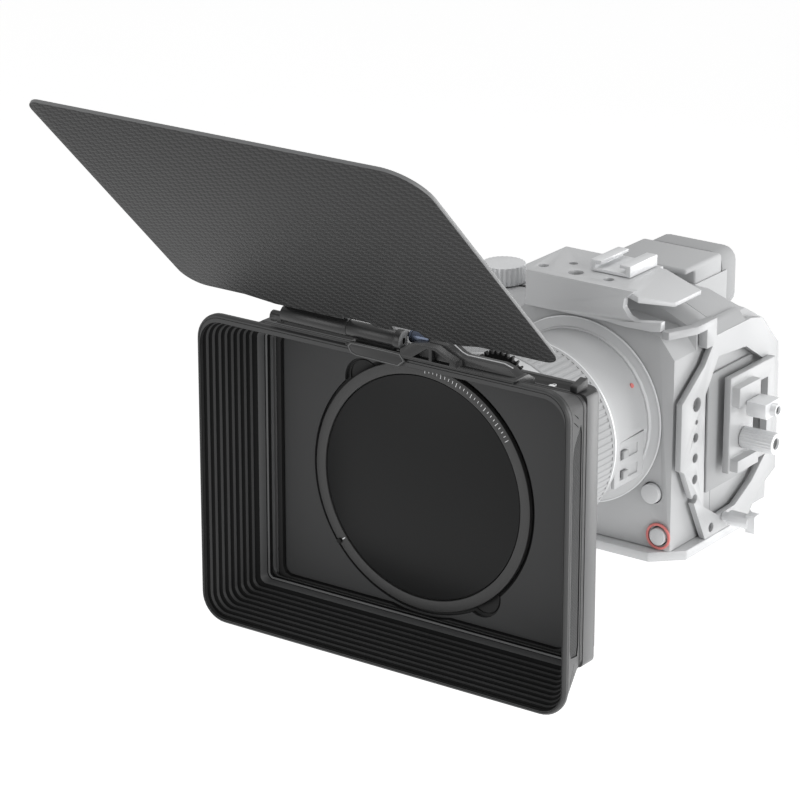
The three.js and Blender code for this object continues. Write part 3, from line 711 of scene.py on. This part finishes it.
def finger_scoops(back):
    """A dished step in each notch, where a fingertip turns the ring, painted near black as painted shade
    in the notch.
    """
    for name, angle in NOTCHES.items():
        middle, hole = on_ring(NOTCH_AT + 0.6, angle), on_ring(NOTCH_AT + 1.6, angle)
        dish = rod("scoop_" + name, SCOOP_R, back - 0.25, back + 0.2, *middle)
        clear = rod("clear", RING_R + 0.7, PANEL_LOW.y - 2, back + 3, 0, OPTICAL_Z, sides=120)
        hollow = rod("hollow", HOLLOW_R, back - 2, back + 2, *hole)
        boolean(dish, clear, hollow)
        finish(dish, "tray", "satin_black", MAT["tray"], width=0.15)


def filter_ring():
    """The ring's smooth front flange, its toothed rear part, and the glass in it."""
    low = cad_box("filter_ring")[0].y
    profile = [
        (RING_INNER, low + 2.6), (RING_INNER, low + 0.4), (RING_INNER + 0.12, low + 0.1),
        (RING_INNER + 0.35, low), (RING_R - 0.5, low), (RING_R - 0.15, low + 0.12),
        (RING_R, low + 0.4), (RING_R, low + 2.2), (RING_SEAT, low + 2.2), (RING_SEAT, low + 2.6),
    ]
    ring = lathe("ring_flange", profile, 240)
    teeth = refined("filter_ring", "ring_teeth")
    front = block("front", (-60, 60), (low - 1, low + 2.35), (-60, 60))
    boolean(teeth, front)
    finish(teeth, "filter", "black_metal", MAT["ring_dark"], width=0)
    finish(ring, "filter", "black_metal", MAT["ring"], "filter_ring", width=0)

    front, back, edge = GLASS_LOW.y, GLASS_HIGH.y, GLASS_HIGH.x
    profile = [
        (0.01, front), (edge - 0.6, front), (edge - 0.2, front + 0.15), (edge, front + 0.5),
        (edge, back), (0.01, back),
    ]
    glass = lathe("filter_glass_disc", profile, 200)
    finish(glass, "filter", "dark_glass", MAT["glass"], "filter_glass", width=0)


MARKS, MARK_START, MARK_STEP, MARKS_PER_LONG = 25, math.radians(88), math.radians(2.2), 4
LONG_MARK, SHORT_MARK, MARK_HALF = (50.1, 52.1), (50.7, 51.9), math.radians(0.13)
TICK, TICK_ANGLE, TICK_HALF = (49.3, 50.9), math.radians(218.3), 0.004


def mark(name, span, angle, half):
    """One painted stroke across the ring, between two radii."""
    front = cad_box("filter_ring")[0].y
    corners = ((span[0], -half), (span[1], -half), (span[1], half), (span[0], half))
    outline = [on_ring(r, angle + side) for r, side in corners]
    return prism(name, outline, front - 0.04, front + 0.05)


def ring_marks():
    """A scale of plain strokes along the ring's upper right, and one index tick."""
    strokes = []
    for k in range(MARKS):
        span = SHORT_MARK if k % MARKS_PER_LONG else LONG_MARK
        strokes.append(mark("stroke", span, MARK_START - k * MARK_STEP, MARK_HALF))
    strokes.append(mark("tick", TICK, TICK_ANGLE, TICK_HALF))
    finish(merge("ring_scale", *strokes), "filter", "black_metal", MAT["mark"], width=0)


# -------------------------------------------------------------------- the flag
HINGE_Y, HINGE_Z = 2.8, 74.3
FLAG_TILT = PI / 4
FLAG_ROOT, FLAG_NEAR, FLAG_FAR, FLAG_WIDTH = 7.1, 10.0, 147.4, 181.6
FLAG_LOW, FLAG_THICK = -0.1, 1.6
NEAR_LEFT_R, FAR_LEFT_R, FAR_RIGHT_R, NEAR_RIGHT_R = 10, 7, 17, 9
TONGUE, TONGUE_ROOT = (-62, 52), (-48, 42)
STUD_NOTCH, STUD_NOTCH_DEEP = (11.5, 24), 4.4
LEAF_NOTCH, LEAF_NOTCH_DEEP = (-13.5, 0), 2


def on_flag(x, v, n):
    """A point x across, v back from the hinge axis along the sheet and n above it."""
    c, s = math.cos(FLAG_TILT), math.sin(FLAG_TILT)
    return at(x, HINGE_Y + v * c + n * s, HINGE_Z - v * s + n * c)


def flag_outline():
    """The sheet as (x, -distance from the hinge axis), anticlockwise from its root."""
    half, quarter, root = FLAG_WIDTH / 2, PI / 2, -FLAG_ROOT
    outline = [(TONGUE[1], -FLAG_NEAR), (TONGUE_ROOT[1], root), (STUD_NOTCH[1] + 1.5, root)]
    outline += [(x, root - STUD_NOTCH_DEEP) for x in reversed(STUD_NOTCH)]
    outline += [(STUD_NOTCH[0] - 1, root), (LEAF_NOTCH[1] + 1, root)]
    outline += [(x, root - LEAF_NOTCH_DEEP) for x in reversed(LEAF_NOTCH)]
    outline += [(LEAF_NOTCH[0] - 1, root), (TONGUE_ROOT[0], root), (TONGUE[0], -FLAG_NEAR)]
    r = NEAR_LEFT_R
    outline += arc(-half + r, -FLAG_NEAR - r, r, quarter, PI, 14)
    r = FAR_LEFT_R
    outline += arc(-half + r, -FLAG_FAR + r, r, PI, 3 * quarter, 12)
    r = FAR_RIGHT_R
    outline += arc(half - r, -FLAG_FAR + r, r, 3 * quarter, 2 * PI, 20)
    r = NEAR_RIGHT_R
    outline += arc(half - r, -FLAG_NEAR - r, r, 0, quarter, 14)
    return outline


def flag():
    """The woven sheet, its edge faces in a pale grey as a painted highlight, and the two pieces that hold
    it.
    """
    outline = flag_outline()
    panel = prism("top_flag", outline, FLAG_LOW, FLAG_LOW + FLAG_THICK, "z", place=on_flag)
    soften(panel, 0.3, 2)
    normal = Vector((0, math.sin(FLAG_TILT), math.cos(FLAG_TILT)))
    two_tone(panel, "flag", "flag_edge_highlight", lambda poly: abs(poly.normal.dot(normal)) <= 0.9)
    finish(panel, "flag", "carbon", None, "flag_panel", width=0)
    for node, name in (("flag_hinge_barrel", "flag_barrel"), ("flag_clamp_strip", "flag_strip")):
        finish(refined(node, name), "flag", "matte_black", MAT["hinge"], node, width=0.25)


# A painted highlight along the hinge arm's upper front edge, drawn as a pale strip: (x, z) and two
# depths.
EDGE_HIGHLIGHT = [
    (24, 77.3), (30.3, 77.4), (32.7, 76.3), (34.5, 75.1), (37.4, 73.4), (39.8, 72.7),
    (57, 72.7), (61, 71.6),
]
HIGHLIGHT_ABOVE, HIGHLIGHT_BELOW, HIGHLIGHT_SPAN = 0.25, 0.35, (5.9, 6.4)
# The blank name plate as (x, z), and how far its outline is drawn in.
NAME_PLATE = [
    (-12.9, 68.4), (-11.6, 66), (-9.2, 65.2), (11.7, 64.8), (14.5, 67.3), (12.4, 69.9), (-11.6, 69.9),
]
PLATE_CENTRE, PLATE_SHRINK, PLATE_SPAN = (0.8, 67.4), (0.035, 0.13), (-1.42, -1.2)
PIN_R, CAP_START, CAP_R = 1.6, 8.8, 4.15
SLOT_Y, SLOT_HALF, SLOT_DEPTH = HINGE_Y - 0.6, (0.95, 1.3), 1.2
STUD_R, STUD_SPAN, STUD_AXIS = 2.75, (12.6, 22.2), (HINGE_Y + 4.2, HINGE_Z + 1.1)
STUD_GROOVE, STUD_GROOVE_DEPTH = (13.5, 13.9), 0.2


def hinge_bracket():
    """The bracket, a painted highlight along its upper front edge and the blank name plate's outline."""
    bracket = refined("hinge_bracket", "hinge_saddle")
    ribbon = [(x, z + HIGHLIGHT_ABOVE) for x, z in EDGE_HIGHLIGHT]
    ribbon += [(x, z - HIGHLIGHT_BELOW) for x, z in reversed(EDGE_HIGHLIGHT)]
    # A pale strip along the arm's edge: a painted highlight.
    line = prism("hinge_edge_highlight", ribbon, *HIGHLIGHT_SPAN)
    finish(line, "camera_rig", "matte_black", MAT["hinge_highlight"], width=0.08)
    inner = [
        tuple(p + (c - p) * shrink for p, c, shrink in zip(point, PLATE_CENTRE, PLATE_SHRINK))
        for point in NAME_PLATE
    ]
    outline = prism("name_plate_outline", NAME_PLATE, *PLATE_SPAN)
    boolean(outline, prism("inner", inner, -2, 0))
    finish(outline, "camera_rig", "matte_black", MAT["hood_lip"], width=0)
    finish(bracket, "camera_rig", "matte_black", MAT["hinge"], "hinge_bracket", width=0.28)


def hinge_pin():
    """The pin, and its slotted cap with a pale end face and a black disc at the slot's floor as painted
    shade.
    """
    low, high = cad_box("hinge_pin")
    shaft = rod("hinge_pin_shaft", PIN_R, low.x, CAP_START + 0.5, HINGE_Y, HINGE_Z, "x")
    finish(shaft, "camera_rig", "black_metal", MAT["hinge"], width=0.1)
    end = high.x
    cap = rod("hinge_pin_cap", CAP_R, CAP_START, end, HINGE_Y, HINGE_Z, "x", sides=96)
    half_y, half_z = SLOT_HALF
    oval = [(SLOT_Y + half_y * u, HINGE_Z + half_z * v) for u, v in circle(0, 0, 1, 24)]
    floor = end - SLOT_DEPTH
    slot = prism("slot", oval, floor, end + 1, "x")
    notch_y, notch_z = (HINGE_Y + 1.9, HINGE_Y + 6), (HINGE_Z - 2, HINGE_Z + 1.1)
    notch = block("notch", (end - 1.6, end + 1), notch_y, notch_z)
    boolean(cap, slot, notch)
    soften(cap, 0.25, 2)
    two_tone(cap, "hinge", "cap", lambda poly: poly.normal.x > 0.6)
    finish(cap, "camera_rig", "black_metal", None, "hinge_pin", width=0)
    # A black disc at the slot's floor: painted shade in the slot.
    plug = rod("hinge_slot_shade", 1.4, floor - 0.1, floor + 0.1, SLOT_Y, HINGE_Z, "x", sides=24)
    finish(plug, "camera_rig", "black_metal", MAT["ring_dark"], width=0)


def hinge_stud():
    """The blue stud beside the cap, with a fine groove turned into it."""
    stud = rod("hinge_stud", STUD_R, *STUD_SPAN, *STUD_AXIS, "x", sides=96)
    start, end = STUD_GROOVE
    groove = rod("groove", STUD_R + 0.65, start, end, *STUD_AXIS, "x", sides=96)
    core_r = STUD_R - STUD_GROOVE_DEPTH
    core = rod("core", core_r, start - 0.5, end + 0.5, *STUD_AXIS, "x", sides=96)
    boolean(groove, core)
    boolean(stud, groove)
    finish(stud, "camera_rig", "black_metal", MAT["stud"], width=0.5, segments=3)


SIGN_THICK, SIGN_LIFT = 0.08, 0.03
TRAY_SIGN, HINGE_SIGN = (63.5, 30.4), (26, 5.6)
SIGN_BODY, SHACKLE_BASE, SHACKLE_R, SHACKLE_INNER, SHACKLE_LEAN = (2.9, 1.9, 0.35), 1.3, 0.95, 0.55, 1.1


def padlock(name, shackle_open, place, body):
    """A small generic padlock sign: a round-cornered body with a bowed shackle."""
    outline = rounded(*SIGN_BODY, 0, 0.1, steps=3)
    plate = prism("plate", outline, 0, SIGN_THICK, "z", place=place)
    lean = SHACKLE_LEAN if shackle_open else 0.0
    bow = arc(lean, SHACKLE_BASE, SHACKLE_R, 0, PI, 10)
    bow += arc(lean, SHACKLE_BASE, SHACKLE_INNER, PI, 0, 10)
    shackle = prism("shackle", bow, 0, SIGN_THICK, "z", place=place)
    finish(merge(name, plate, shackle), body, "light_metal", MAT["mark"], width=0)


def lock_signs():
    """One sign on the cheek that carries the hinge pin, one beside the tray's latch."""
    signs = (
        ("lock_sign_tray", False, TRAY_SIGN, "rear_frame"),
        ("lock_sign_hinge", True, HINGE_SIGN, "hinge_bracket"),
    )
    for name, shackle_open, (x, y), node in signs:
        top = cad_box(node)[1].z + SIGN_LIFT

        def place(u, v, w, x=x, y=y, top=top):
            return at(x + u, y + v, top + w)

        padlock(name, shackle_open, place, "camera_rig")


# ------------------------------------------- the rest of the CAD nodes, refined
# Each node's body, slot, look and edge radius in millimetres.
REFINED = {
    "thumb_wheel": ("thumb_wheel_body", "matte_black", "wheel", 0.25),
    "tray_latch": ("latch", "black_metal", "frame", 0.35),
    "tension_knob": ("tension_knob_body", "black_metal", "hinge", 0.2),
    "polarizer_retainer": ("tray", "black_metal", "ring", 0.15),
    "lens_clamp_ring": ("camera_rig", "black_metal", "frame", 0.3),
    "clamp_screw": ("clamp_screw_body", "steel", "steel", 0.15),
    "lens_front_barrel": ("camera_rig", "pale_body", "body", 0.2),
    "control_ring": ("control_ring_body", "pale_metal", "metal", 0.3),
    "lens_rear_barrel": ("camera_rig", "pale_body", "body", 0.2),
    "lens_switch_plate": ("camera_rig", "pale_body", "body", 0.2),
    "focus_mode_switch": ("focus_switch_body", "pale_rubber", "rubber", 0.3),
    "stabilizer_switch": ("stabilizer_switch_body", "pale_rubber", "rubber", 0.3),
    "lens_mount_collar": ("camera_rig", "pale_metal", "metal", 0.2),
    "body_front_shell": ("camera_rig", "pale_body", "body", 1.0),
    "body_rear_shell": ("camera_rig", "pale_body", "body", 1.0),
    "grip": ("camera_rig", "pale_rubber", "rubber", 1.2),
    "battery_door": ("battery_door_body", "pale_body", "body", 0.4),
    "shutter_button": ("shutter_button_body", "pale_metal", "metal", 0.5),
    "mode_dial": ("mode_dial_body", "pale_metal", "bright", 0.3),
    "front_dial": ("front_dial_body", "pale_metal", "metal", 0.3),
    "record_button": ("record_button_body", "pale_metal", "metal", 0.4),
    "record_ring": ("camera_rig", "red_ring", "red", 0.2),
    "lens_release_button": ("lens_release_body", "pale_metal", "metal", 0.4),
    "port_cover": ("camera_rig", "pale_rubber", "rubber", 0.4),
    "viewfinder_housing": ("camera_rig", "pale_body", "body", 2.6),
    "eyecup": ("camera_rig", "pale_rubber", "rubber", 2.6),
    "screen_hinge": ("screen", "pale_body", "body", 0.4),
    "screen_housing": ("screen", "pale_body", "body", 0.8),
    "cage_top_plate": ("camera_rig", "pale_metal", "metal", 0.5),
    # The side plate and the cable clamp's bracket take the darker side grey: painted shade.
    "cage_side_plate": ("camera_rig", "pale_metal", "cage_side", 0.5),
    "cage_base_plate": ("camera_rig", "pale_metal", "metal", 0.5),
    "cold_shoe": ("camera_rig", "light_metal", "bright", 0.2),
    "cable_clamp_bracket": ("camera_rig", "pale_metal", "cage_side", 0.4),
    "bracket_lock_knob": ("bracket_knob_body", "light_metal", "bright", 0.3),
    "base_screw": ("camera_rig", "steel", "steel", 0.2),
}
# Nodes that are painted as they are.
PAINTED = {
    "polarizer_glass": "glass",
    "lens_front_glass": "lens_glass",
    "lens_rear_glass": "lens_glass",
    "screen_glass": "screen",
    "wheel_axle": "steel",
    "ring_index_pin": "ring_dark",
    "iris_unit": "ring_dark",
    "sensor_unit": "circuit",
    "main_board": "circuit",
    "battery": "frame",
}


def remaining_nodes():
    """Softens and paints the CAD nodes that need no further detail."""
    for node, (body, slot, key, width) in REFINED.items():
        piece = refined(node, node + "_skin")
        finish(piece, body, slot, MAT[key], node, width=width)
    for node, key in PAINTED.items():
        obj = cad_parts[node]
        obj.data.materials.clear()
        obj.data.materials.append(MAT[key])


# -------------------------------------------------------------- the lens's rings
RING_WALL, RING_END, RING_CHAMFER, RIB_SHARE = 3.5, 1.6, 0.5, 0.45
DOT_R, DOT_ANGLE, DOT_FROM_FRONT = 37.3, math.radians(31.5), 27.0
ACCENT_R, BEAD_R = 40.3, 41.6


def ribbed_ring(node, body, ribs, groove):
    """A rubber ring with straight ribs, smooth at both ends."""
    low, high = cad_box(node)
    outer = (high.x - low.x) / 2
    inner = outer - RING_WALL
    start, end = low.y + RING_END, high.y - RING_END
    profile = [
        (inner, low.y), (outer - RING_CHAMFER, low.y), (outer, low.y + RING_CHAMFER), (outer, start),
        (outer - 0.05, start + 0.05), (outer - 0.05, end - 0.05),
        (outer, end), (outer, high.y - RING_CHAMFER), (outer - RING_CHAMFER, high.y), (inner, high.y),
    ]
    ribbed = (4, 5)

    def ripple(index, angle):
        if index not in ribbed:
            return 0.0
        phase = (angle * ribs / (2 * PI)) % 1.0
        return -groove if phase < RIB_SHARE else 0.0

    ring = lathe(node + "_ribs", profile, ribs * 8, ripple=ripple)
    finish(ring, body, "pale_rubber", MAT["rubber"], node, width=0, smooth=25)


def on_barrel(u, v, n):
    """A point on the lens barrel at the index dot: across, back, and outwards."""
    c, s = math.cos(DOT_ANGLE), math.sin(DOT_ANGLE)
    back = cad_box("lens_rear_barrel")[0].y + DOT_FROM_FRONT
    return at(n * c - u * s, back + v, OPTICAL_Z + n * s + u * c)


def lens_details():
    """The ribbed rubber rings, two bright lines and the red mounting dot."""
    ribbed_ring("focus_ring", "focus_ring_body", 100, 0.3)
    ribbed_ring("zoom_ring", "zoom_ring_body", 92, 0.35)
    y = cad_box("lens_rear_barrel")[0].y
    r = ACCENT_R
    profile = [(r, y + 1.0), (r + 0.25, y + 1.1), (r + 0.25, y + 1.9), (r, y + 2.0)]
    finish(lathe("lens_accent", profile, 160), "camera_rig", "pale_metal", MAT["bright"], width=0)
    y = cad_box("lens_mount_collar")[1].y
    r = BEAD_R
    profile = [(r, y - 1.0), (r + 0.5, y - 0.9), (r + 0.5, y - 0.3), (r, y - 0.2)]
    finish(lathe("mount_bead", profile, 160), "camera_rig", "pale_metal", MAT["bright"], width=0)
    outline = circle(0, 0, 1.1, 24)
    dot = prism("lens_index_dot", outline, DOT_R - 0.6, DOT_R + 0.5, "z", place=on_barrel)
    finish(dot, "camera_rig", "pale_metal", MAT["red"], width=0.3)


# ------------------------------------------------------------- the cable clamp
HOLE_DEPTH, CLAMP_Y, JAW_Z, KNOB_Z = 1.2, 195, 1.6, -14


def drilled(node, body, r, z):
    """A knob or jaw with a round hole in its outer end, and a dark disc at the hole's bottom as painted
    shade.
    """
    end = cad_box(node)[1].x
    piece = refined(node, node + "_skin")
    boolean(piece, rod("hole", r, end - HOLE_DEPTH, end + 1, CLAMP_Y, z, "x"))
    finish(piece, body, "light_metal", MAT["bright"], node, width=0.2)
    floor = end - HOLE_DEPTH
    # A dark disc at the hole's floor: painted shade.
    plug = rod(node + "_socket", r - 0.05, floor - 0.3, floor + 0.1, CLAMP_Y, z, "x")
    finish(plug, body, "light_metal", MAT["hole_shade"], width=0)


def clamp_details():
    """The cable clamp's jaw and knob."""
    drilled("cable_clamp_jaw", "cable_jaw_body", 1.9, JAW_Z)
    drilled("cable_clamp_knob", "cable_knob_body", 2.6, KNOB_Z)


# ------------------------------------------------------ the camera's rear controls
# Buttons as (x, z, radius), and the grip's rear face as two (x, y) points on it.
REAR_BUTTONS = [(-70, 26, 3.4), (-80, 26, 3.4), (-90, 26, 3.4), (-70, -22, 3.0), (-88, -22, 3.0)]
GRIP_REAR = [(-62.4, 208.0), (-98.0, 204.0)]
DIAL_AT, DIAL_R, DIAL_VALLEY_R, DIAL_RIBS = (-80, 3), 9.6, 9.1, 48
WELL_R, KEY_R = 6.2, 3.4


def on_grip(x, z, n):
    """A point on the grip's rear face, n outside it."""
    (x0, y0), (x1, y1) = GRIP_REAR
    slope = (y1 - y0) / (x1 - x0)
    return at(x, y0 + (x - x0) * slope + n, z)


def rear_controls():
    """Buttons and a ribbed dial on the grip's rear face."""
    buttons = [
        prism("button", circle(x, z, r, 32), -0.4, 0.9, "z", place=on_grip)
        for x, z, r in REAR_BUTTONS
    ]
    finish(merge("rear_buttons", *buttons), "camera_rig", "pale_metal", MAT["metal"], width=0.35)
    edge = []
    for k in range(2 * DIAL_RIBS):
        r = DIAL_R if k % 2 else DIAL_VALLEY_R
        angle = k * PI / DIAL_RIBS
        edge.append((DIAL_AT[0] + r * math.cos(angle), DIAL_AT[1] + r * math.sin(angle)))
    dial = prism("rear_dial", edge, -0.4, 1.6, "z", place=on_grip)
    well = prism("well", circle(*DIAL_AT, WELL_R, 48), 0.9, 3, "z", place=on_grip)
    boolean(dial, well)
    centre = prism("rear_dial_key", circle(*DIAL_AT, KEY_R, 32), 0.7, 1.5, "z", place=on_grip)
    finish(dial, "camera_rig", "pale_metal", MAT["rubber"], width=0.15)
    finish(centre, "camera_rig", "pale_metal", MAT["metal"], width=0.3)


# ---------------------------------------------------------------------- studio
FLOOR_HALF, FLOOR_DROP = 12.0, 0.9
WORLD_LIGHT, WORLD_SEEN = 0.5, 1.0
LIGHT_AIM = at(0, 40, 10)
# Each light's place in metres, size in metres and power in watts.
LIGHTS = {
    "key": ((1.9, -0.35, 0.55), (0.9, 1.1), 18),
    "back": ((1.1, 1.5, 0.1), (1.0, 1.4), 20),
    "fill": ((-0.9, -1.8, 0.5), (1.0, 1.0), 7),
    "top": ((-0.2, 0.3, 1.8), (1.0, 1.0), 9),
}


def area_light(name, place, size, power):
    """A soft rectangular light that faces LIGHT_AIM."""
    data = bpy.data.lights.new(name, "AREA")
    data.shape = "RECTANGLE"
    data.size, data.size_y = size
    data.energy = power
    light = bpy.data.objects.new(name, data)
    bpy.context.scene.collection.objects.link(light)
    light.location = place
    light.rotation_euler = (Vector(place) - LIGHT_AIM).to_track_quat("Z", "Y").to_euler()


def white_world():
    """An even world, brighter where it is seen than where it lights the object."""
    world = bpy.data.worlds.new("studio")
    bpy.context.scene.world = world
    world.use_nodes = True
    tree = world.node_tree
    background = tree.nodes["Background"]
    background.inputs["Color"].default_value = (1, 1, 1, 1)
    seen = tree.nodes.new("ShaderNodeLightPath").outputs["Is Camera Ray"]
    strength = tree.nodes.new("ShaderNodeMapRange")
    tree.links.new(seen, strength.inputs["Value"])
    strength.inputs["To Min"].default_value = WORLD_LIGHT
    strength.inputs["To Max"].default_value = WORLD_SEEN
    tree.links.new(strength.outputs["Result"], background.inputs["Strength"])


def pale_floor():
    """A wide, matt, slightly glowing floor below the object."""
    half, drop = FLOOR_HALF, FLOOR_DROP
    corners = [(-half, -half, -drop), (half, -half, -drop), (half, half, -drop), (-half, half, -drop)]
    mesh = bpy.data.meshes.new("floor")
    mesh.from_pydata(corners, [], [(0, 1, 2, 3)])
    floor = link("floor", mesh)
    paint = Shader("floor_paint", (0.95, 0.95, 0.95), 0.9, 0.0, 0.1)
    paint.put("Base Color", paint.blend(paint.noise(3), (0.94, 0.94, 0.94), (0.96, 0.96, 0.96)))
    paint.put("Emission Color", (1, 1, 1, 1))
    paint.put("Emission Strength", 0.5)
    floor.data.materials.append(paint.material)


def studio():
    white_world()
    pale_floor()
    for name, (place, size, power) in LIGHTS.items():
        area_light(name, place, size, power)


hood()
hood_insets()
rear_frame()
tray()
filter_ring()
ring_marks()
flag()
hinge_bracket()
hinge_pin()
hinge_stud()
lock_signs()
lens_details()
clamp_details()
rear_controls()
remaining_nodes()
studio()
bpy.context.scene.view_settings.view_transform = "Standard"
